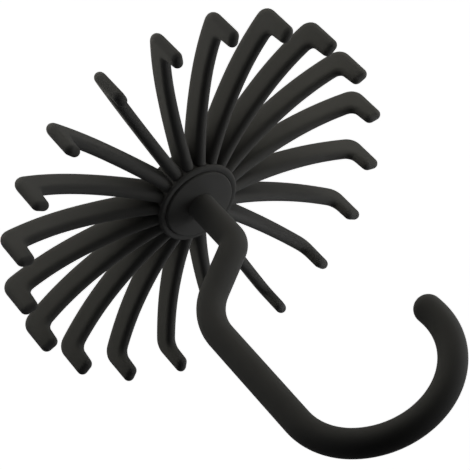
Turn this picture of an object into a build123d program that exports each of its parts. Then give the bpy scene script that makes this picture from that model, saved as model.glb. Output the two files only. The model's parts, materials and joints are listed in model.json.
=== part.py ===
"""Rotating closet hook: a J hook that carries a turning hub with a ring of lipped arms.

Millimetres, +Z up, hung as in use. The hook lies in the XZ plane and the hub turns about Z. The origin
is where that axis meets the inside of the hook's bend, which is where the hook sits on a closet rod.
A rise or a drop is a height above or below arm_z, about where the arms' upper edges reach the hub.
"""

from build123d import *
import math
import os

# Hook, as the centre line of a round rod
rod_radius = 5.0
shank_offset = 25.6  # swivel axis to shank
neck_low_rise = 25.3  # corner where the swan neck leaves the axis
neck_high_rise = 43.8  # corner where it meets the shank
neck_low_bend = 7.2
neck_high_bend = 21.6
shank_top_rise = 100.6
lead_bend = 25.5  # the bend starts tighter than it ends
lead_angle = 48
main_bend = 29.5
main_angle = 135
tip_run = 1.8

# Foot flange of the hook, and the spindle under it
flange_edge_rise = 1.6
flange_crown = 1.0  # how far the middle stands above the edge
flange_dip = 0.8  # how far the flange sits down inside the ring
flange_edge_round = 0.8
foot_fillet = 0.5
spindle_radius = 4.0

# Hub: top plate with its ring, lower plate with its waist
ring_radius = 15.8
ring_width = 2.3
ring_rise = 1.4
ring_outer_round = 0.97
ring_inner_round = 0.5
groove_width = 0.2  # between the ring and the hook's flange
plate_thick = 1.5
waist_inset = 0.6  # the ring stands out over the arms' roots
base_round = 1.0
web_drop = 7.4  # underside of the web that the hub hangs by
web_thick = 1.5
sleeve_wall = 1.95
core_wall = 1.3  # between the cored-out middle and the arms' slots
slot_inner_radius = 11.6
slot_key_floor = 1.4  # left under the pocket that takes an arm's key
slot_key_reach = 2.1

# Arms
arm_count = 20
first_arm_angle = 10.4
arm_thick = 4.1
arm_edge_share = 0.47  # of the thickness, nearly a full round
arm_corner_share = 1.15  # of the edge round
arm_reach = 74.6
root_rise = 0.25
root_depth = 10.9
dip_radius = 47.1  # where the upper edge is lowest
dip_drop = 3.75
belly_radius = 44.2  # where the lower edge is lowest
belly_drop = 13.2
heel_drop = 9.2  # lower corner under the lip
heel_bend = 5.4
lip_rise = 7.45
lip_width = 6.4
lip_lean = 0.7
lip_foot_drop = 1.5  # corner where the upper edge meets the lip
lip_foot_bend = 2.8
tenon_thick = 2.0

# Washers, screws and cap
thrust_washer_thick = 0.8
thrust_washer_margin = 0.5  # inside the flange's edge
spindle_washer_lap = 1.25  # past the edge of the bore
spindle_washer_thick = 0.8
spindle_screw_radius = 1.2
spindle_screw_bite = 9.0
spindle_head_radius = 2.9
spindle_head_height = 1.5
hub_screw_count = 4
hub_screw_radius = 0.8
hub_screw_bite = 4.2
hub_screw_head_height = 1.2
drive_share = 0.55  # drive recess across a screw head
drive_slot_share = 0.22
drive_depth_share = 0.5
cap_thick = 1.0
cap_room = 0.3  # between the cap and the screw above it
cap_ledge = 0.9
cap_round = 0.4
cap_skirt_wall = 0.6
cap_skirt_height = 0.7
cap_skirt_gap = 3.0

# Clearances
running_gap = 0.05  # spindle in its bearing, on the radius
end_float = 0.1  # hub along the spindle
slot_gap = 0.15  # arm root in its slot
fit_gap = 0.2  # between other moulded pieces
screw_gap = 0.05
pilot_room = 0.5  # hole left past a screw's tip
overrun = 1.0  # how far a cut runs past the face it opens

# Heights and radii that follow from those above
main_centre_x = shank_offset - lead_bend + (lead_bend - main_bend) * math.cos(math.radians(lead_angle))
main_centre_rise = shank_top_rise + (lead_bend - main_bend) * math.sin(math.radians(lead_angle))
seat_rise = main_centre_rise + math.sqrt((main_bend - rod_radius) ** 2 - main_centre_x**2)
arm_z = -seat_rise
bore_radius = spindle_radius + running_gap
recess_radius = ring_radius - ring_width
flange_radius = recess_radius - groove_width
flange_foot_rise = ring_rise - flange_dip
recess_drop = thrust_washer_thick + end_float - flange_foot_rise
plate_drop = recess_drop + plate_thick
waist_radius = ring_radius - waist_inset
sleeve_radius = bore_radius + sleeve_wall
core_radius = slot_inner_radius - core_wall
core_floor_drop = web_drop - web_thick
boss_circle = (sleeve_radius + core_radius) / 2
boss_radius = (core_radius - sleeve_radius) / 2 - fit_gap
hub_screw_head_radius = boss_radius - fit_gap
spindle_washer_radius = bore_radius + spindle_washer_lap
spindle_head_drop = web_drop + spindle_washer_thick
cap_seat_drop = spindle_head_drop + spindle_head_height + cap_room
base_drop = cap_seat_drop + cap_thick
slot_key_drop = base_drop - slot_key_floor
root_radius = waist_radius + slot_gap
ring_foot_rise = root_rise + slot_gap
arm_edge_round = arm_edge_share * arm_thick
arm_corner = arm_corner_share * arm_edge_round
cap_radius = core_radius + cap_ledge
cap_seat_radius = cap_radius + fit_gap

section = Plane(origin=(0, 0, arm_z), x_dir=(1, 0, 0), z_dir=(0, -1, 0))


def level(rise):
    """Horizontal plane at a height above arm_z."""
    return Plane.XY.offset(arm_z + rise)


def corner(sketch, point):
    """The sketch's corner nearest to a point."""
    return sketch.vertices().sort_by_distance(point)[0]


def save(piece, name):
    piece.label = name
    export_step(piece, f"parts/{name}.step")


os.makedirs("parts", exist_ok=True)

# Hook: spindle, foot flange and rod in one moulding
crown_rise = flange_edge_rise + flange_crown
stub_rise = (crown_rise + neck_low_rise) / 2
flange_corner = (flange_radius, flange_edge_rise)
with BuildPart() as hook:
    with BuildSketch(section) as foot_section:
        with BuildLine():
            Polyline(
                (0, crown_rise),
                (0, -web_drop),
                (spindle_radius, -web_drop),
                (spindle_radius, flange_foot_rise),
                (flange_radius, flange_foot_rise),
                flange_corner,
            )
            TangentArc((0, crown_rise), flange_corner, tangent=(1, 0))
        make_face()
        with Locations((0, flange_foot_rise)):
            Rectangle(rod_radius, stub_rise - flange_foot_rise, align=(Align.MIN, Align.MIN))
        fillet(corner(foot_section, flange_corner), radius=flange_edge_round)
        fillet(corner(foot_section, (rod_radius, crown_rise)), radius=foot_fillet)
    revolve(axis=Axis.Z)
    with BuildLine(section) as rod_line:
        neck = FilletPolyline(
            (0, stub_rise),
            (0, neck_low_rise),
            (shank_offset, neck_high_rise),
            (shank_offset, shank_top_rise),
            radius=(neck_low_bend, neck_high_bend),
        )
        lead = JernArc(neck @ 1, neck % 1, lead_bend, lead_angle)
        main = JernArc(lead @ 1, lead % 1, main_bend, main_angle)
        tip = Line(main @ 1, main @ 1 + (main % 1) * tip_run)
    with BuildSketch(level(stub_rise)):
        Circle(rod_radius)
    sweep(path=rod_line.line)
    with Locations(tip @ 1):
        Sphere(rod_radius)
    with BuildSketch(level(-web_drop)):
        Circle(spindle_screw_radius + screw_gap)
    extrude(amount=spindle_screw_bite + pilot_room, mode=Mode.SUBTRACT)
save(hook.part, "hook")

# Thrust washer under the flange
with BuildPart() as thrust_washer:
    with BuildSketch(level(flange_foot_rise - thrust_washer_thick)):
        Circle(flange_radius - thrust_washer_margin)
        Circle(bore_radius, mode=Mode.SUBTRACT)
    extrude(amount=thrust_washer_thick)
save(thrust_washer.part, "thrust_washer")

# Top plate: a dished plate whose ring stands round the flange and out over the arms, with four bosses
with BuildPart() as hub_top:
    with BuildSketch(section) as plate_section:
        with BuildLine():
            Polyline(
                (bore_radius, -plate_drop),
                (waist_radius, -plate_drop),
                (waist_radius, ring_foot_rise),
                (ring_radius, ring_foot_rise),
                (ring_radius, ring_rise),
                (recess_radius, ring_rise),
                (recess_radius, -recess_drop),
                (bore_radius, -recess_drop),
                close=True,
            )
        make_face()
        fillet(corner(plate_section, (ring_radius, ring_rise)), radius=ring_outer_round)
        fillet(corner(plate_section, (recess_radius, ring_rise)), radius=ring_inner_round)
    revolve(axis=Axis.Z)
    with BuildSketch(level(-plate_drop)):
        with PolarLocations(boss_circle, hub_screw_count):
            Circle(boss_radius)
    extrude(amount=plate_drop - core_floor_drop)
    with BuildSketch(level(-core_floor_drop)):
        with PolarLocations(boss_circle, hub_screw_count):
            Circle(hub_screw_radius + screw_gap)
    extrude(amount=hub_screw_bite - web_thick + pilot_room, mode=Mode.SUBTRACT)
save(hub_top.part, "hub_top")

# Lower plate: bearing sleeve, web and slotted rim
with BuildPart() as hub_base:
    with BuildSketch(section) as base_section:
        with BuildLine():
            Polyline(
                (bore_radius, -plate_drop),
                (sleeve_radius, -plate_drop),
                (sleeve_radius, -core_floor_drop),
                (core_radius, -core_floor_drop),
                (core_radius, -plate_drop),
                (waist_radius, -plate_drop),
                (waist_radius, -base_drop),
                (cap_seat_radius, -base_drop),
                (cap_seat_radius, -cap_seat_drop),
                (core_radius, -cap_seat_drop),
                (core_radius, -web_drop),
                (bore_radius, -web_drop),
                close=True,
            )
        make_face()
        fillet(corner(base_section, (waist_radius, -base_drop)), radius=base_round)
    revolve(axis=Axis.Z)
    slot_length = waist_radius + overrun - slot_inner_radius
    with BuildSketch(level(-web_drop)):
        with PolarLocations(slot_inner_radius + slot_length / 2, arm_count, start_angle=first_arm_angle):
            Rectangle(slot_length, tenon_thick + 2 * slot_gap)
    extrude(amount=web_drop, mode=Mode.SUBTRACT)
    with BuildSketch(level(-slot_key_drop)):
        with PolarLocations(slot_inner_radius + slot_key_reach / 2, arm_count, start_angle=first_arm_angle):
            Rectangle(slot_key_reach, tenon_thick + 2 * slot_gap)
    extrude(amount=slot_key_drop, mode=Mode.SUBTRACT)
    with BuildSketch(level(-web_drop)):
        with PolarLocations(boss_circle, hub_screw_count):
            Circle(hub_screw_radius + fit_gap)
    extrude(amount=web_thick, mode=Mode.SUBTRACT)
save(hub_base.part, "hub_base")

# Arm: a flat blade with rounded edges and an upturned lip, and a keyed tenon at its root
root_top = (root_radius, root_rise)
dip = (dip_radius, -dip_drop)
lip_foot = (arm_reach - lip_width - lip_lean, -lip_foot_drop)
lip_inner = (arm_reach - lip_width, lip_rise)
lip_outer = (arm_reach, lip_rise)
heel = (arm_reach, -heel_drop)
belly = (belly_radius, -belly_drop)
root_bottom = (root_radius, -root_depth)
tenon_inner = slot_inner_radius + slot_gap
tenon_outer = root_radius + 2 * arm_edge_round
key_outer = slot_inner_radius + slot_key_reach - slot_gap
with BuildPart() as arm:
    with BuildSketch(section) as blade:
        with BuildLine():
            TangentArc(dip, root_top, tangent=(-1, 0))
            TangentArc(dip, lip_foot, tangent=(1, 0))
            Polyline(lip_foot, lip_inner, lip_outer, heel)
            TangentArc(belly, heel, tangent=(1, 0))
            TangentArc(belly, root_bottom, tangent=(-1, 0))
            Line(root_bottom, root_top)
        make_face()
        fillet(corner(blade, lip_foot), radius=lip_foot_bend)
        fillet(corner(blade, heel), radius=heel_bend)
        for point in (lip_inner, lip_outer):
            fillet(corner(blade, point), radius=arm_corner)
    extrude(amount=arm_thick / 2, both=True)
    rims = arm.faces().filter_by(Axis.Y).edges()
    fillet(rims.filter_by(lambda rim: rim.center().X > root_radius + slot_gap), radius=arm_edge_round)
    with BuildSketch(section):
        with Locations((tenon_inner, -web_drop)):
            Rectangle(
                tenon_outer - tenon_inner,
                web_drop - plate_drop - slot_gap,
                align=(Align.MIN, Align.MIN),
            )
        with Locations((tenon_inner, slot_gap - slot_key_drop)):
            Rectangle(
                key_outer - tenon_inner,
                slot_key_drop - web_drop,
                align=(Align.MIN, Align.MIN),
            )
    extrude(amount=tenon_thick / 2, both=True)
for index in range(arm_count):
    turned = arm.part.rotate(Axis.Z, first_arm_angle + index * 360 / arm_count)
    save(turned, f"arm_{index + 1:02d}")

# Screws that clamp the two plates together, one node
with BuildPart() as hub_screws:
    with BuildSketch(level(-web_drop - hub_screw_head_height)):
        with PolarLocations(boss_circle, hub_screw_count):
            Circle(hub_screw_head_radius)
    extrude(amount=hub_screw_head_height)
    with BuildSketch(level(-web_drop)):
        with PolarLocations(boss_circle, hub_screw_count):
            Circle(hub_screw_radius)
    extrude(amount=hub_screw_bite)
    with BuildSketch(level(-web_drop - hub_screw_head_height)):
        with PolarLocations(boss_circle, hub_screw_count):
            Rectangle(2 * drive_share * hub_screw_head_radius, drive_slot_share * hub_screw_head_radius)
            Rectangle(drive_slot_share * hub_screw_head_radius, 2 * drive_share * hub_screw_head_radius)
    extrude(amount=drive_depth_share * hub_screw_head_height, mode=Mode.SUBTRACT)
save(hub_screws.part, "hub_screws")

# Washer that the hub hangs on, and the screw that holds it to the spindle
with BuildPart() as spindle_washer:
    with BuildSketch(level(-web_drop - spindle_washer_thick)):
        Circle(spindle_washer_radius)
        Circle(spindle_screw_radius + fit_gap, mode=Mode.SUBTRACT)
    extrude(amount=spindle_washer_thick)
save(spindle_washer.part, "spindle_washer")

with BuildPart() as spindle_screw:
    with BuildSketch(level(-spindle_head_drop - spindle_head_height)):
        Circle(spindle_head_radius)
    extrude(amount=spindle_head_height)
    with BuildSketch(level(-spindle_head_drop)):
        Circle(spindle_screw_radius)
    extrude(amount=spindle_washer_thick + spindle_screw_bite)
    with BuildSketch(level(-spindle_head_drop - spindle_head_height)):
        Rectangle(2 * drive_share * spindle_head_radius, drive_slot_share * spindle_head_radius)
        Rectangle(drive_slot_share * spindle_head_radius, 2 * drive_share * spindle_head_radius)
    extrude(amount=drive_depth_share * spindle_head_height, mode=Mode.SUBTRACT)
save(spindle_screw.part, "spindle_screw")

# Snap-in cap over the screws
skirt_radius = core_radius - fit_gap
with BuildPart() as bottom_cap:
    with BuildSketch(level(-base_drop)):
        Circle(cap_radius)
    extrude(amount=cap_thick)
    fillet(bottom_cap.edges().group_by(Axis.Z)[0], radius=cap_round)
    with BuildSketch(level(-cap_seat_drop)):
        Circle(skirt_radius)
        Circle(skirt_radius - cap_skirt_wall, mode=Mode.SUBTRACT)
        Rectangle(2 * cap_radius, cap_skirt_gap, mode=Mode.SUBTRACT)
        Rectangle(cap_skirt_gap, 2 * cap_radius, mode=Mode.SUBTRACT)
    extrude(amount=cap_skirt_height)
save(bottom_cap.part, "bottom_cap")
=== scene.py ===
"""Looks of the rotating closet hook, built round its fixed frame. Metres, +Z up, hung as in use."""

import json
import math

import bmesh
import bpy
from mathutils import Matrix, Vector
from mathutils.geometry import delaunay_2d_cdt


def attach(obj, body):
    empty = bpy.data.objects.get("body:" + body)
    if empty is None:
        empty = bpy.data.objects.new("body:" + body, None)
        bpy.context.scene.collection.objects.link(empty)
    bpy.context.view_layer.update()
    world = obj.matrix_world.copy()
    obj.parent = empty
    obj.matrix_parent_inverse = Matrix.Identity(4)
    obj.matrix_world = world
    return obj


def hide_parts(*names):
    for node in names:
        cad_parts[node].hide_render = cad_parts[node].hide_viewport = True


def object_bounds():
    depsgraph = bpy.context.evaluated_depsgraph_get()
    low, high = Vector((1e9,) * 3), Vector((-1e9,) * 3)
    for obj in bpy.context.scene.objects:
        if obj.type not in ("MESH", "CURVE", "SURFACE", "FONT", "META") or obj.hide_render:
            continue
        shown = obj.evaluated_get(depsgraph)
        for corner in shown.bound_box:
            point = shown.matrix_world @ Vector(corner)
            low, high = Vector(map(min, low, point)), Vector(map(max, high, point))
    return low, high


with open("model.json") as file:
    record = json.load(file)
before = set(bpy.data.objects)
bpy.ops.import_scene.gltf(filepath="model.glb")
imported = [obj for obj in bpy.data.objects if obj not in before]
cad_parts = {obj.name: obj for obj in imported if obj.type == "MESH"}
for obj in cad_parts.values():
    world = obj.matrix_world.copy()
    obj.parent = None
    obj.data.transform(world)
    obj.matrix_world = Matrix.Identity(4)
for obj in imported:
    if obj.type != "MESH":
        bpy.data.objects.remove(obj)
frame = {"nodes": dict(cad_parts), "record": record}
cad_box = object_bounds()

MM = 0.001

# Camera, turned and aimed so that the picture's middle lies on its axis
CAMERA_AZIMUTH = 14.036
CAMERA_ELEVATION = 38.461
CAMERA_ROLL = 136.677
CAMERA_DISTANCE = 785.16 * MM
CAMERA_AIM = (-1.664 * MM, 0.0, -99.734 * MM)
CAMERA_LENS = 174.9
CAMERA_SENSOR = 36.0
CAMERA_SIGHT = 100  # metres that it sees

# Floor and world, in metres. Both are white to the camera, in reflections and through glass.
FLOOR_DROP = 1.6  # below the object's lowest point
FLOOR_SIZE = 12.0
FLOOR_PAINT = (0.9, 0.9, 0.9, 1)
WORLD_FILL = 0.005
WHITE = (1, 1, 1, 1)
WHITE_STRENGTH = 1.0

# Lamps. Small soft boxes stand close round the hub, larger ones near or far round the whole object. Each
# has its angle in the picture, counted from the right-hand side, and its angle from the lens axis, where
# 90 is level with the object.
HUB_RISE = 15 * MM  # what the lamps round the hub look at, above the lowest point
NEUTRAL = (1.0, 1.0, 1.0)
WARM = (1.0, 0.97, 0.86)
LAMP_RINGS = {"hub": (0.2, 0.12), "near": (0.3, 0.2), "far": (0.6, 0.4)}  # metres away, metres wide
LAMPS = {  # ring, angle in the picture, angle from the lens axis, watts, colour
    "hub_right": ("hub", 0, 90, 0.260, NEUTRAL),
    "hub_upper_right": ("hub", 45, 90, 0.243, WARM),
    "hub_top": ("hub", 90, 90, 0.155, WARM),
    "hub_upper_left": ("hub", 135, 90, 0.310, WARM),
    "hub_behind": ("hub", 135, 122, 0.146, WARM),
    "hub_behind_left": ("hub", 180, 122, 0.235, WARM),
    "hub_behind_low": ("hub", 315, 122, 0.181, NEUTRAL),
    "hub_front_right": ("hub", 45, 55, 0.070, WARM),
    "hub_front_top": ("hub", 135, 55, 0.097, NEUTRAL),
    "hub_front_left": ("hub", 225, 55, 0.049, NEUTRAL),
    "upper_left": ("near", 135, 90, 0.230, WARM),
    "far_right": ("far", 0, 90, 1.700, NEUTRAL),
}

# Finishes. Noise has a scale and a detail, tones go from the darkest to the lightest, roughness from the
# smoothest to the roughest, and relief has a strength and a height.
TONE_ENDS = (0.3, 0.7)  # values of the noise at which the two tones are reached
EVEN = (1, 1, 1)  # noise that isn't stretched
BLACK_GLOSS = 0.03
BLACK_CLOUD = (90, 4)
BLACK_TONES = ((0.0254, 0.0255, 0.0251), (0.0286, 0.0287, 0.0283))
BLACK_ROUGHNESS = (0.78, 0.9)
BLACK_GRAIN = (2600, 2)
BLACK_RELIEF = (0.1, 0.03 * MM)
WASHER_GLOW = (0.1, 0.5 * MM)  # weight and depth of the light that passes under the surface
WASHER_CLOUD = (160, 3)
WASHER_TONES = ((0.72, 0.71, 0.66), (0.77, 0.76, 0.73))
WASHER_ROUGHNESS = (0.4, 0.5)
WASHER_GRAIN = (1800, 2)
WASHER_RELIEF = (0.08, 0.02 * MM)
STEEL_CLOUD = (220, 4)
STEEL_TONES = ((0.52, 0.53, 0.55), (0.64, 0.64, 0.63))
STEEL_ROUGHNESS = (0.28, 0.42)
STEEL_MARKS = (900, 2)
STEEL_TURNED = (1, 1, 14)  # marks run level round the screws and washers
STEEL_RELIEF = (0.12, 0.02 * MM)

# Arm, in mm: along its radius, and up from the height that the swivel joint is given at
ARM_COUNT = 20
FIRST_ARM = 10.4
ARM_THICK = 4.08
ARM_TAPER = 0.06  # share of its thickness that an arm loses from hub to tip
ARM_EDGE = 1.95  # offset rings go this far in from the outline
ARM_PILLOW = 2.2  # the sides keep rounding over to here
ARM_RINGS = 8
ARM_CORNER = 2.22
ARM_START = 15.35
ARM_REACH = 74.5
LIP_RISE = 7.45
ROOT = (ARM_START, 0.25)
DIP = (47.1, -3.65)
LIP_FOOT = (67.5, -1.35)
LIP_INNER = (68.2, LIP_RISE)
LIP_OUTER = (ARM_REACH, LIP_RISE)
HEEL = (ARM_REACH, -9.2)
BELLY = (44.2, -13.19)
ROOT_LOW = (ARM_START, -10.9)
ROOT_SPARE = 4.0  # the blade is made this much longer and cut flat at its root
LIP_FOOT_BEND = 2.8
HEEL_BEND = 5.4
SIDE_GRID = 1.1
SIDE_ROW_SHARE = 0.87  # of the grid, from one row of points to the next
SIDE_ROOM_SHARE = 0.4  # of the grid, kept free inside the edge rounding
SIDE_SMOOTHING = 6
SIDE_SMOOTHING_SHARE = 0.5
SAME_POINT = 1e-6  # points nearer than this become one
TENON_THICK = 2.0
TENON_INNER = 11.75
TENON_OUTER = 16.5
TENON_TOP = -1.95
TENON_LOW = -7.4
KEY_OUTER = 13.55
KEY_LOW = -9.45

# How finely outlines are drawn and bends are found
OUTLINE_STEP = 1.3
ARC_STEP = math.radians(12)
ARC_LEAST = 2
BEND_TRIES = 30
SHARP_ANGLE = math.radians(40)

# Hub's top plate, in mm: radius, and height as for the arms. Its ring slopes down towards the hook's
# flange.
BORE = 4.05
WAIST = 15.2
PLATE_LOW = -1.8
RECESS_RADIUS = 13.5
RECESS_FLOOR = -0.3
RING_RADIUS = 15.8
RING_LOW = 0.4
RING_RISE = 1.4
RING_CREST = (14.4, RING_RISE)
RING_INNER = (RECESS_RADIUS, 1.25)
RING_OUTER_BEND = 0.96
RING_CREST_BEND = 1.0
RING_INNER_BEND = 0.15
BOSS_COUNT = 4
BOSS_CIRCLE = 8.15
BOSS_RADIUS = 1.95
BOSS_LOW = -5.9
PILOT_RADIUS = 0.85
PILOT_DEPTH = 3.2
OVERLAP = 0.5  # how far bodies reach into each other before they are joined or cut
TURN_STEPS = 160  # in a full turn
BOSS_STEPS = 40
PLATE_STEP = WAIST  # longer than any edge, so that only bends get points between their ends

# Hook, in mm: distance along +X from the swivel axis, and height as for the arms
ROD = 4.985  # radius, a hair under the solid's, to stay in its box
ROD_FOOT = 2.1
NECK_LOW = (0.0, 25.3)
NECK_HIGH = (25.6, 43.8)  # where the swan neck meets the shank
NECK_LOW_BEND = 7.2
NECK_HIGH_BEND = 21.6
SHANK_TOP = 100.6
LEAD_BEND = 25.5  # the bend starts tighter than it ends
LEAD_TURN = math.radians(48)
MAIN_BEND = 29.5
MAIN_TURN = math.radians(135)
TIP_RUN = 1.8
SPINDLE_LOW = -7.4
SPINDLE = 4.0
SCREW_BORE = 1.25
FLANGE_LOW = 0.6
FLANGE_RADIUS = 13.3
FLANGE_EDGE = (FLANGE_RADIUS, 2.05)
FLANGE_CROWN = (0.0, 2.75)
FLANGE_EDGE_BEND = 0.55
RUN_STEP = 3.0
BEND_STEP = math.radians(2.5)
ROD_SIDES = 72
TIP_STEPS = 12

# Degrees that single arms sit askew in their slots, as seen in the photograph
ASKEW = {1: -0.65, 2: -0.35, 4: 0.3, 5: 0.5, 10: 0.35, 15: -0.7, 16: -0.25, 17: 0.4, 20: -0.5}


class Edge:
    """One line or arc of an outline, walked from start to end with the inside on its left."""

    def __init__(self, start, end, centre=None):
        self.start, self.end, self.centre = Vector(start), Vector(end), centre
        if centre is not None:
            self.radius = (self.start - centre).length
            turn = (self.start - centre).cross(self.end - centre)
            self.sense = 1.0 if turn > 0 else -1.0

    def inward(self, point):
        """Unit normal into the outline at a point on the edge or near it."""
        if self.centre is None:
            along = (self.end - self.start).normalized()
            return Vector((-along.y, along.x))
        return (self.centre - point).normalized() * self.sense

    def depth(self, point):
        """How far inside the edge a point is."""
        if self.centre is None:
            return (point - self.start).dot(self.inward(point))
        return (self.radius - (point - self.centre).length) * self.sense

    def points(self, spacing):
        """Points along the edge with their inward normals, without the last."""
        if self.centre is None:
            count = max(1, round((self.end - self.start).length / spacing))
            places = [self.start.lerp(self.end, i / count) for i in range(count)]
        else:
            first = self.start - self.centre
            sweep = first.angle_signed(self.end - self.centre)
            count = max(ARC_LEAST, round(abs(sweep) * self.radius / spacing), round(abs(sweep) / ARC_STEP))
            places = []
            for i in range(count):
                turn = -sweep * i / count
                c, s = math.cos(turn), math.sin(turn)
                places.append(self.centre + Vector((c * first.x - s * first.y, s * first.x + c * first.y)))
        return [(place, self.inward(place)) for place in places]


def flat_arc(flat, end):
    """Centre of the arc through two points that runs level at the first."""
    flat, end = Vector(flat), Vector(end)
    run = end - flat
    return flat + Vector((0, run.length_squared / (2 * run.y)))


def run_on(point, centre, length):
    """The point on an arc that lies a length further in towards the hub."""
    point = Vector(point)
    radius = (point - centre).length
    x = point.x - length
    rise = math.sqrt(radius**2 - (x - centre.x) ** 2)
    return Vector((x, centre.y + math.copysign(rise, point.y - centre.y)))


def rounded(edges, bends):
    """The closed outline with its corners rounded. bends gives the radius at each edge's start."""
    tangents = []
    for index, radius in enumerate(bends):
        before, after = edges[index - 1], edges[index]
        if not radius:
            tangents.append((after.start, None, after.start))
            continue
        convex = before.inward(before.end).cross(after.inward(after.start)) > 0
        wanted = radius if convex else -radius
        centre = after.start + (before.inward(before.end) + after.inward(after.start)) * wanted / 2
        for _ in range(BEND_TRIES):
            lack_a = wanted - before.depth(centre)
            lack_b = wanted - after.depth(centre)
            normal_a, normal_b = before.inward(centre), after.inward(centre)
            cross = normal_a.cross(normal_b)
            centre = centre + Vector(
                (
                    (lack_a * normal_b.y - lack_b * normal_a.y) / cross,
                    (normal_a.x * lack_b - normal_b.x * lack_a) / cross,
                )
            )
        tangents.append(
            (centre - before.inward(centre) * wanted, centre, centre - after.inward(centre) * wanted)
        )
    result = []
    for index, edge in enumerate(edges):
        arrive, centre, leave = tangents[index]
        if centre is not None:
            result.append(Edge(arrive, leave, centre))
        result.append(Edge(leave, tangents[(index + 1) % len(edges)][0], edge.centre))
    return result


def view_axes(azimuth, elevation, roll):
    """The camera's right, up and back directions."""
    a, e, r = (math.radians(angle) for angle in (azimuth, elevation, roll))
    back = Vector((math.sin(a) * math.cos(e), -math.cos(a) * math.cos(e), math.sin(e)))
    level = Vector((math.cos(a), math.sin(a), 0.0))
    upright = level.cross(-back)
    right = level * math.cos(r) + upright * math.sin(r)
    up = upright * math.cos(r) - level * math.sin(r)
    return right, up, back


def make_camera():
    """The photograph's view of the object at rest."""
    right, up, back = view_axes(CAMERA_AZIMUTH, CAMERA_ELEVATION, CAMERA_ROLL)
    data = bpy.data.cameras.new("camera")
    data.lens = CAMERA_LENS
    data.sensor_width = CAMERA_SENSOR
    data.clip_end = CAMERA_SIGHT
    camera = bpy.data.objects.new("camera", data)
    turn = Matrix((right, up, back)).transposed().to_4x4()
    camera.matrix_world = Matrix.Translation(Vector(CAMERA_AIM) + back * CAMERA_DISTANCE) @ turn
    bpy.context.scene.collection.objects.link(camera)
    bpy.context.scene.camera = camera


def area_light(name, towards, target, distance, size, power, colour):
    """A square soft light that looks at a target from a direction."""
    data = bpy.data.lights.new(name, "AREA")
    data.size = size
    data.energy = power
    data.color = colour
    lamp = bpy.data.objects.new(name, data)
    lamp.location = target + towards * distance
    lamp.rotation_mode = "QUATERNION"
    lamp.rotation_quaternion = towards.to_track_quat("Z", "Y")
    lamp.visible_camera = False
    bpy.context.scene.collection.objects.link(lamp)


def make_lights():
    """Soft boxes in rings round the lens axis, close round the hub and round the whole object."""
    right, up, back = view_axes(CAMERA_AZIMUTH, CAMERA_ELEVATION, CAMERA_ROLL)
    lo, hi = cad_box
    targets = {"hub": Vector((0, 0, lo.z + HUB_RISE)), "near": (lo + hi) / 2, "far": (lo + hi) / 2}
    for name, (ring, turn, lean, power, colour) in LAMPS.items():
        turn, lean = math.radians(turn), math.radians(lean)
        towards = (right * math.cos(turn) + up * math.sin(turn)) * math.sin(lean) + back * math.cos(lean)
        distance, size = LAMP_RINGS[ring]
        area_light(name, towards, targets[ring], distance, size, power, colour)


def white_for_camera(tree, shader):
    """Mixes a shader, for the light it gives, with a second input, for camera, reflections and glass."""
    nodes, links = tree.nodes, tree.links
    path = nodes.new("ShaderNodeLightPath")
    seen = nodes.new("ShaderNodeMath")
    seen.operation = "MAXIMUM"
    links.new(path.outputs["Is Camera Ray"], seen.inputs[0])
    links.new(path.outputs["Is Glossy Ray"], seen.inputs[1])
    seen_through = nodes.new("ShaderNodeMath")
    seen_through.operation = "MAXIMUM"
    links.new(seen.outputs[0], seen_through.inputs[0])
    links.new(path.outputs["Is Transmission Ray"], seen_through.inputs[1])
    mix = nodes.new("ShaderNodeMixShader")
    links.new(seen_through.outputs[0], mix.inputs[0])
    links.new(shader.outputs[0], mix.inputs[1])
    return mix


def make_world():
    """A very faint even light, and a white background."""
    world = bpy.data.worlds.new("studio")
    world.use_nodes = True
    tree = world.node_tree
    tree.nodes.clear()
    fill = tree.nodes.new("ShaderNodeBackground")
    fill.inputs["Color"].default_value = WHITE
    fill.inputs["Strength"].default_value = WORLD_FILL
    white = tree.nodes.new("ShaderNodeBackground")
    white.inputs["Color"].default_value = WHITE
    white.inputs["Strength"].default_value = WHITE_STRENGTH
    mix = white_for_camera(tree, fill)
    tree.links.new(white.outputs[0], mix.inputs[2])
    out = tree.nodes.new("ShaderNodeOutputWorld")
    tree.links.new(mix.outputs[0], out.inputs["Surface"])
    bpy.context.scene.world = world


def make_floor():
    """A white floor, well below the object."""
    lo, _ = cad_box
    bpy.ops.mesh.primitive_plane_add(size=FLOOR_SIZE, location=(0, 0, lo.z - FLOOR_DROP))
    floor = bpy.context.object
    floor.name = "floor"
    paint = bpy.data.materials.new("floor_white")
    paint.use_nodes = True
    tree = paint.node_tree
    tree.nodes.clear()
    matt = tree.nodes.new("ShaderNodeBsdfDiffuse")
    matt.inputs["Color"].default_value = FLOOR_PAINT
    glow = tree.nodes.new("ShaderNodeEmission")
    glow.inputs["Strength"].default_value = WHITE_STRENGTH
    mix = white_for_camera(tree, matt)
    both = tree.nodes.new("ShaderNodeAddShader")
    tree.links.new(glow.outputs[0], both.inputs[0])
    tree.links.new(matt.outputs[0], both.inputs[1])
    tree.links.new(both.outputs[0], mix.inputs[2])
    out = tree.nodes.new("ShaderNodeOutputMaterial")
    tree.links.new(mix.outputs[0], out.inputs["Surface"])
    floor.data.materials.append(paint)


def bare_material(name):
    """A material with its tree, its shader and its object coordinates."""
    paint = bpy.data.materials.new(name)
    paint.use_nodes = True
    tree = paint.node_tree
    coords = tree.nodes.new("ShaderNodeTexCoord")
    return paint, tree, tree.nodes["Principled BSDF"], coords.outputs["Object"]


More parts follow.
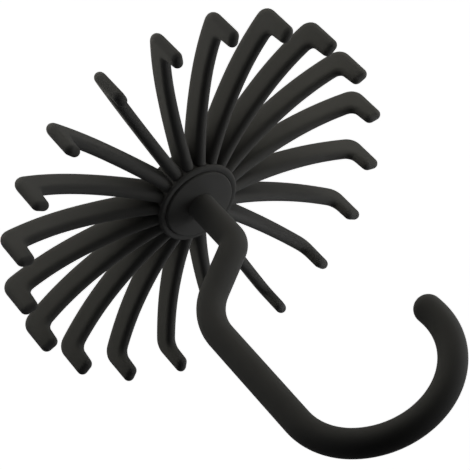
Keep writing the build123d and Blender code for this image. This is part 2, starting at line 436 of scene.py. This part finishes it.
def mottle(tree, where, scale, detail, stretch=EVEN):
    """Noise over an object, stretched along its axes. Returns its factor."""
    shape = tree.nodes.new("ShaderNodeMapping")
    shape.inputs["Scale"].default_value = stretch
    tree.links.new(where, shape.inputs["Vector"])
    noise = tree.nodes.new("ShaderNodeTexNoise")
    noise.inputs["Scale"].default_value = scale
    noise.inputs["Detail"].default_value = detail
    tree.links.new(shape.outputs["Vector"], noise.inputs["Vector"])
    return noise.outputs["Fac"]


def two_tone(tree, factor, dark, light, socket):
    """Drives a colour between two tones."""
    ramp = tree.nodes.new("ShaderNodeValToRGB")
    for element, position, colour in zip(ramp.color_ramp.elements, TONE_ENDS, (dark, light)):
        element.position = position
        element.color = (*colour, 1)
    tree.links.new(factor, ramp.inputs["Fac"])
    tree.links.new(ramp.outputs["Color"], socket)


def spread(tree, factor, low, high, socket):
    """Drives a value between two limits."""
    span = tree.nodes.new("ShaderNodeMapRange")
    span.inputs["To Min"].default_value = low
    span.inputs["To Max"].default_value = high
    tree.links.new(factor, span.inputs["Value"])
    tree.links.new(span.outputs["Result"], socket)


def relief(tree, factor, strength, height, socket):
    """Gives a surface a fine grain of a real height."""
    bump = tree.nodes.new("ShaderNodeBump")
    bump.inputs["Strength"].default_value = strength
    bump.inputs["Distance"].default_value = height
    tree.links.new(factor, bump.inputs["Height"])
    tree.links.new(bump.outputs["Normal"], socket)


def black_plastic():
    """Fine-grained matt black moulding, faintly uneven in tone."""
    paint, tree, shader, where = bare_material("black_plastic")
    shader.inputs["Specular IOR Level"].default_value = BLACK_GLOSS
    cloud = mottle(tree, where, *BLACK_CLOUD)
    two_tone(tree, cloud, *BLACK_TONES, shader.inputs["Base Color"])
    spread(tree, cloud, *BLACK_ROUGHNESS, shader.inputs["Roughness"])
    relief(tree, mottle(tree, where, *BLACK_GRAIN), *BLACK_RELIEF, shader.inputs["Normal"])
    return paint


def washer_plastic():
    """Natural white bearing plastic, slightly waxy."""
    paint, tree, shader, where = bare_material("washer_plastic")
    weight, depth = WASHER_GLOW
    shader.inputs["Subsurface Weight"].default_value = weight
    shader.inputs["Subsurface Scale"].default_value = depth
    cloud = mottle(tree, where, *WASHER_CLOUD)
    two_tone(tree, cloud, *WASHER_TONES, shader.inputs["Base Color"])
    spread(tree, cloud, *WASHER_ROUGHNESS, shader.inputs["Roughness"])
    relief(tree, mottle(tree, where, *WASHER_GRAIN), *WASHER_RELIEF, shader.inputs["Normal"])
    return paint


def zinc_steel():
    """Zinc-plated steel with turned marks round the upright axis."""
    paint, tree, shader, where = bare_material("zinc_steel")
    shader.inputs["Metallic"].default_value = 1.0
    cloud = mottle(tree, where, *STEEL_CLOUD)
    two_tone(tree, cloud, *STEEL_TONES, shader.inputs["Base Color"])
    spread(tree, cloud, *STEEL_ROUGHNESS, shader.inputs["Roughness"])
    relief(tree, mottle(tree, where, *STEEL_MARKS, STEEL_TURNED), *STEEL_RELIEF, shader.inputs["Normal"])
    return paint


def arm_outline():
    """The arm's outline, counter-clockwise, as points with inward normals. It runs on past the root."""
    top_centre, bottom_centre = flat_arc(DIP, ROOT), flat_arc(BELLY, ROOT_LOW)
    top = run_on(ROOT, top_centre, ROOT_SPARE)
    bottom = run_on(ROOT_LOW, bottom_centre, ROOT_SPARE)
    edges = [
        Edge(top, bottom),
        Edge(bottom, BELLY, bottom_centre),
        Edge(BELLY, HEEL, flat_arc(BELLY, HEEL)),
        Edge(HEEL, LIP_OUTER),
        Edge(LIP_OUTER, LIP_INNER),
        Edge(LIP_INNER, LIP_FOOT),
        Edge(LIP_FOOT, DIP, flat_arc(DIP, LIP_FOOT)),
        Edge(DIP, top, top_centre),
    ]
    bends = [ARM_CORNER, ARM_CORNER, 0, HEEL_BEND, ARM_CORNER, ARM_CORNER, LIP_FOOT_BEND, 0]
    result = []
    for edge in rounded(edges, bends):
        result += edge.points(OUTLINE_STEP)
    return result


def pillow(depth):
    """Half thickness of the arm at a distance in from its outline."""
    rest = 1 - min(depth / ARM_PILLOW, 1.0)
    return ARM_THICK / 2 * math.sqrt(1 - rest**2)


def distance_in(point, outline):
    """Shortest distance from a point to the outline."""
    best = math.inf
    for (a, _), (b, _) in zip(outline, outline[1:] + outline[:1]):
        along = b - a
        share = max(0.0, min(1.0, (point - a).dot(along) / along.length_squared))
        best = min(best, (point - a - along * share).length)
    return best


def arm_side(outline):
    """Flat mesh of the arm's side inside the edge rounding: points and triangles, ring points first."""
    ring = [place + inward * ARM_EDGE for place, inward in outline]
    low = Vector((min(p.x for p in ring), min(p.y for p in ring)))
    high = Vector((max(p.x for p in ring), max(p.y for p in ring)))
    inside = []
    rows = int((high.y - low.y) / (SIDE_GRID * SIDE_ROW_SHARE)) + 1
    columns = int((high.x - low.x) / SIDE_GRID) + 1
    for row in range(rows):
        for column in range(columns):
            shift = row % 2 / 2
            point = low + Vector(((column + shift) * SIDE_GRID, row * SIDE_GRID * SIDE_ROW_SHARE))
            if within(point, ring) and distance_in(point, outline) > ARM_EDGE + SIDE_ROOM_SHARE * SIDE_GRID:
                inside.append(point)
    rim = [(i, (i + 1) % len(ring)) for i in range(len(ring))]
    points, _, faces, _, _, _ = delaunay_2d_cdt(ring + inside, rim, [], 1, SAME_POINT)
    return points, faces


def within(point, ring):
    """Whether a point lies inside a closed ring."""
    odd = False
    for a, b in zip(ring, ring[1:] + ring[:1]):
        if (a.y > point.y) != (b.y > point.y):
            if point.x < a.x + (point.y - a.y) / (b.y - a.y) * (b.x - a.x):
                odd = not odd
    return odd


def arm_mesh():
    """The first arm's blade, lying along +X."""
    outline = arm_outline()
    mesh = bmesh.new()
    flat_turn = math.acos(1 - ARM_EDGE / ARM_PILLOW)
    turns = [flat_turn * (1 - i / ARM_RINGS) for i in range(ARM_RINGS)]
    levels = [(1 - math.cos(t), math.sin(t)) for t in turns] + [(0.0, 0.0)]
    levels += [(d, -y) for d, y in reversed(levels[:-1])]
    rings = []
    for depth_share, height_share in levels:
        ring = [place + inward * ARM_PILLOW * depth_share for place, inward in outline]
        rings.append([mesh.verts.new((p.x, ARM_THICK / 2 * height_share, p.y)) for p in ring])
    for upper, lower in zip(rings, rings[1:]):
        for i in range(len(outline)):
            j = (i + 1) % len(outline)
            mesh.faces.new((upper[i], upper[j], lower[j], lower[i]))
    points, faces = arm_side(outline)
    for ring, side in ((rings[0], 1), (rings[-1], -1)):
        verts = list(ring)
        for point in points[len(outline):]:
            height = pillow(distance_in(point, outline))
            verts.append(mesh.verts.new((point.x, side * height, point.y)))
        middle = verts[len(outline):]
        for face in faces:
            mesh.faces.new([verts[k] for k in face])
        for _ in range(SIDE_SMOOTHING):
            bmesh.ops.smooth_vert(mesh, verts=middle, factor=SIDE_SMOOTHING_SHARE, use_axis_y=True)
    for vert in mesh.verts:
        vert.co.y *= 1 + ARM_TAPER * (1 / 2 - (vert.co.x - ARM_START) / (ARM_REACH - ARM_START))
    everything = mesh.verts[:] + mesh.edges[:] + mesh.faces[:]
    cut = bmesh.ops.bisect_plane(
        mesh, geom=everything, plane_co=(ARM_START, 0, 0), plane_no=(1, 0, 0), clear_inner=True
    )["geom_cut"]
    bmesh.ops.contextual_create(mesh, geom=[part for part in cut if isinstance(part, bmesh.types.BMEdge)])
    bmesh.ops.recalc_face_normals(mesh, faces=mesh.faces)
    return mesh


def tenon_mesh():
    """The keyed tenon that the hub holds the arm by."""
    outline = [
        (TENON_INNER, TENON_TOP),
        (TENON_OUTER, TENON_TOP),
        (TENON_OUTER, TENON_LOW),
        (KEY_OUTER, TENON_LOW),
        (KEY_OUTER, KEY_LOW),
        (TENON_INNER, KEY_LOW),
    ]
    mesh = bmesh.new()
    sides = []
    for y in (TENON_THICK / 2, -TENON_THICK / 2):
        sides.append([mesh.verts.new((x, y, z)) for x, z in outline])
    mesh.faces.new(sides[0])
    mesh.faces.new(list(reversed(sides[1])))
    for i in range(len(outline)):
        j = (i + 1) % len(outline)
        mesh.faces.new((sides[0][j], sides[0][i], sides[1][i], sides[1][j]))
    bmesh.ops.recalc_face_normals(mesh, faces=mesh.faces)
    return mesh


def linked_object(name, mesh):
    """An object in the scene that takes over a bmesh."""
    data = bpy.data.meshes.new(name)
    mesh.to_mesh(data)
    mesh.free()
    made = bpy.data.objects.new(name, data)
    bpy.context.scene.collection.objects.link(made)
    return made


def combined(body, others):
    """One closed mesh, in millimetres: a body joined with others, or cut by them."""
    whole = linked_object("body", body)
    scaffold = [whole]
    for operation, other in others:
        scaffold.append(linked_object("other", other))
        change = whole.modifiers.new(operation, "BOOLEAN")
        change.operation = operation
        change.solver = "EXACT"
        change.object = scaffold[-1]
    data = bpy.data.meshes.new_from_object(whole.evaluated_get(bpy.context.evaluated_depsgraph_get()))
    for done in scaffold:
        bpy.data.objects.remove(done)
    data.shade_smooth()
    data.set_sharp_from_angle(angle=SHARP_ANGLE)
    return data


def place_moulding(node, body, data, place, material):
    """Makes a mesh in millimetres, with heights from the swivel joint, the visible form of a CAD node."""
    height = frame["record"]["behaviour"]["joints"][0]["pos_m"][2]
    data.name = f"{node}_moulding"
    data.transform(Matrix.Translation((0, 0, height)) @ Matrix.Scale(MM, 4) @ place)
    data.materials.append(material)
    moulding = bpy.data.objects.new(f"{node}_moulding", data)
    bpy.context.scene.collection.objects.link(moulding)
    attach(moulding, body)
    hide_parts(node)


def make_arms(material):
    """Twenty mouldings of one arm, each in its slot of the hub."""
    base = combined(arm_mesh(), [("UNION", tenon_mesh())])
    in_slot = Vector((TENON_INNER, 0, 0))
    for index in range(ARM_COUNT):
        turn = Matrix.Rotation(math.radians(FIRST_ARM + index * 360 / ARM_COUNT), 4, "Z")
        askew = Matrix.Rotation(math.radians(ASKEW.get(index + 1, 0)), 4, "Z")
        lie = Matrix.Translation(in_slot) @ askew @ Matrix.Translation(-in_slot)
        place_moulding(f"arm_{index + 1:02d}", "hub", base.copy(), turn @ lie, material)
    bpy.data.meshes.remove(base)


def plate_outline():
    """Half section of the hub's top plate, counter-clockwise, with the ring on its outer rim."""
    corners = [
        (BORE, PLATE_LOW),
        (WAIST, PLATE_LOW),
        (WAIST, RING_LOW),
        (RING_RADIUS, RING_LOW),
        (RING_RADIUS, RING_RISE),
        RING_CREST,
        RING_INNER,
        (RECESS_RADIUS, RECESS_FLOOR),
        (BORE, RECESS_FLOOR),
    ]
    bends = [0, 0, 0, 0, RING_OUTER_BEND, RING_CREST_BEND, RING_INNER_BEND, 0, 0]
    edges = [Edge(start, end) for start, end in zip(corners, corners[1:] + corners[:1])]
    result = []
    for edge in rounded(edges, bends):
        result += edge.points(PLATE_STEP)
    return [place for place, _ in result]


def turned_mesh(outline):
    """A solid of revolution from an outline of radii and heights."""
    mesh = bmesh.new()
    sections = []
    for step in range(TURN_STEPS):
        turn = math.tau * step / TURN_STEPS
        c, s = math.cos(turn), math.sin(turn)
        sections.append([mesh.verts.new((p.x * c, p.x * s, p.y)) for p in outline])
    for near, far in zip(sections, sections[1:] + sections[:1]):
        for i in range(len(outline)):
            j = (i + 1) % len(outline)
            mesh.faces.new((near[i], far[i], far[j], near[j]))
    bmesh.ops.recalc_face_normals(mesh, faces=mesh.faces)
    return mesh


def round_bars(radius, low, high):
    """Upright round bars on the circle of the hub's screws."""
    mesh = bmesh.new()
    for index in range(BOSS_COUNT):
        turn = Matrix.Rotation(math.tau * index / BOSS_COUNT, 4, "Z")
        bmesh.ops.create_cone(
            mesh,
            cap_ends=True,
            segments=BOSS_STEPS,
            radius1=radius,
            radius2=radius,
            depth=high - low,
            matrix=turn @ Matrix.Translation((BOSS_CIRCLE, 0, (high + low) / 2)),
        )
    return mesh


def make_hub_top(material):
    """The plate that closes the arms' roots in, with its ring and four screw bosses."""
    bosses = round_bars(BOSS_RADIUS, BOSS_LOW, PLATE_LOW + OVERLAP)
    pilots = round_bars(PILOT_RADIUS, BOSS_LOW - OVERLAP, BOSS_LOW + PILOT_DEPTH)
    plate = combined(turned_mesh(plate_outline()), [("UNION", bosses), ("DIFFERENCE", pilots)])
    place_moulding("hub_top", "hub", plate, Matrix.Identity(4), material)


def foot_outline():
    """Half section of the hook's spindle and its crowned foot flange, counter-clockwise."""
    crown = flat_arc(FLANGE_CROWN, FLANGE_EDGE)
    inner = run_on(FLANGE_EDGE, crown, FLANGE_RADIUS - SCREW_BORE)
    corners = [
        (SCREW_BORE, SPINDLE_LOW),
        (SPINDLE, SPINDLE_LOW),
        (SPINDLE, FLANGE_LOW),
        (FLANGE_RADIUS, FLANGE_LOW),
        FLANGE_EDGE,
    ]
    edges = [Edge(start, end) for start, end in zip(corners, corners[1:])]
    edges += [Edge(FLANGE_EDGE, inner, crown), Edge(inner, corners[0])]
    result = []
    for edge in rounded(edges, [0, 0, 0, 0, FLANGE_EDGE_BEND, 0]):
        result += edge.points(OUTLINE_STEP)
    return [place for place, _ in result]


def hook_line():
    """Centre line of the rod: places with their headings, as angles from straight up towards +X."""
    slant = Vector(NECK_HIGH) - Vector(NECK_LOW)
    lean = math.atan2(slant.x, slant.y)
    low_cut = NECK_LOW_BEND * math.tan(lean / 2)
    high_cut = NECK_HIGH_BEND * math.tan(lean / 2)
    moves = [  # a straight run, then a bend of a radius through an angle
        (NECK_LOW[1] - ROD_FOOT - low_cut, NECK_LOW_BEND, lean),
        (slant.length - low_cut - high_cut, NECK_HIGH_BEND, -lean),
        (SHANK_TOP - NECK_HIGH[1] - high_cut, LEAD_BEND, -LEAD_TURN),
        (0, MAIN_BEND, -MAIN_TURN),
        (TIP_RUN, 0, 0),
    ]
    place, heading = Vector((0, ROD_FOOT)), 0.0
    line = [(place, heading)]
    for run, radius, turn in moves:
        for _ in range(math.ceil(run / RUN_STEP)):
            place = place + ahead(heading) * run / math.ceil(run / RUN_STEP)
            line.append((place, heading))
        steps = math.ceil(abs(turn) / BEND_STEP)
        for _ in range(steps):
            half = turn / steps / 2
            place = place + ahead(heading + half) * 2 * radius * math.sin(abs(half))
            heading += 2 * half
            line.append((place, heading))
    return line


def ahead(heading):
    """Unit step in the hook's plane, from a heading."""
    return Vector((math.sin(heading), math.cos(heading)))


def rod_mesh():
    """The rod of the hook, flat at its foot and round at its tip."""
    mesh = bmesh.new()
    line = [(place, heading, ROD) for place, heading in hook_line()]
    end, heading, _ = line[-1]
    for step in range(1, TIP_STEPS):
        turn = math.pi / 2 * step / TIP_STEPS
        line.append((end + ahead(heading) * ROD * math.sin(turn), heading, ROD * math.cos(turn)))
    rings = []
    for place, heading, radius in line:
        side = ahead(heading + math.pi / 2)
        ring = []
        for step in range(ROD_SIDES):
            turn = math.tau * step / ROD_SIDES
            out = side * radius * math.cos(turn)
            ring.append(mesh.verts.new((place.x + out.x, radius * math.sin(turn), place.y + out.y)))
        rings.append(ring)
    for near, far in zip(rings, rings[1:]):
        for i in range(ROD_SIDES):
            j = (i + 1) % ROD_SIDES
            mesh.faces.new((near[i], near[j], far[j], far[i]))
    mesh.faces.new(rings[0])
    tip = end + ahead(heading) * ROD
    pole = mesh.verts.new((tip.x, 0, tip.y))
    for i in range(ROD_SIDES):
        mesh.faces.new((rings[-1][i], rings[-1][(i + 1) % ROD_SIDES], pole))
    bmesh.ops.recalc_face_normals(mesh, faces=mesh.faces)
    return mesh


def make_hook(material):
    """Rod, foot flange and spindle in one moulding."""
    hook = combined(turned_mesh(foot_outline()), [("UNION", rod_mesh())])
    place_moulding("hook", "hook", hook, Matrix.Identity(4), material)


plastic = black_plastic()
make_arms(plastic)
make_hub_top(plastic)
make_hook(plastic)
finishes = {"black_plastic": plastic, "washer_plastic": washer_plastic(), "steel": zinc_steel()}
slots = {row["node"]: row["material_slot"] for row in frame["record"]["subparts"]}
for name, node in frame["nodes"].items():
    node.data.materials.clear()
    node.data.materials.append(finishes[slots[name]])

make_camera()
make_lights()
make_world()
make_floor()
bpy.context.scene.view_settings.view_transform = "Standard"
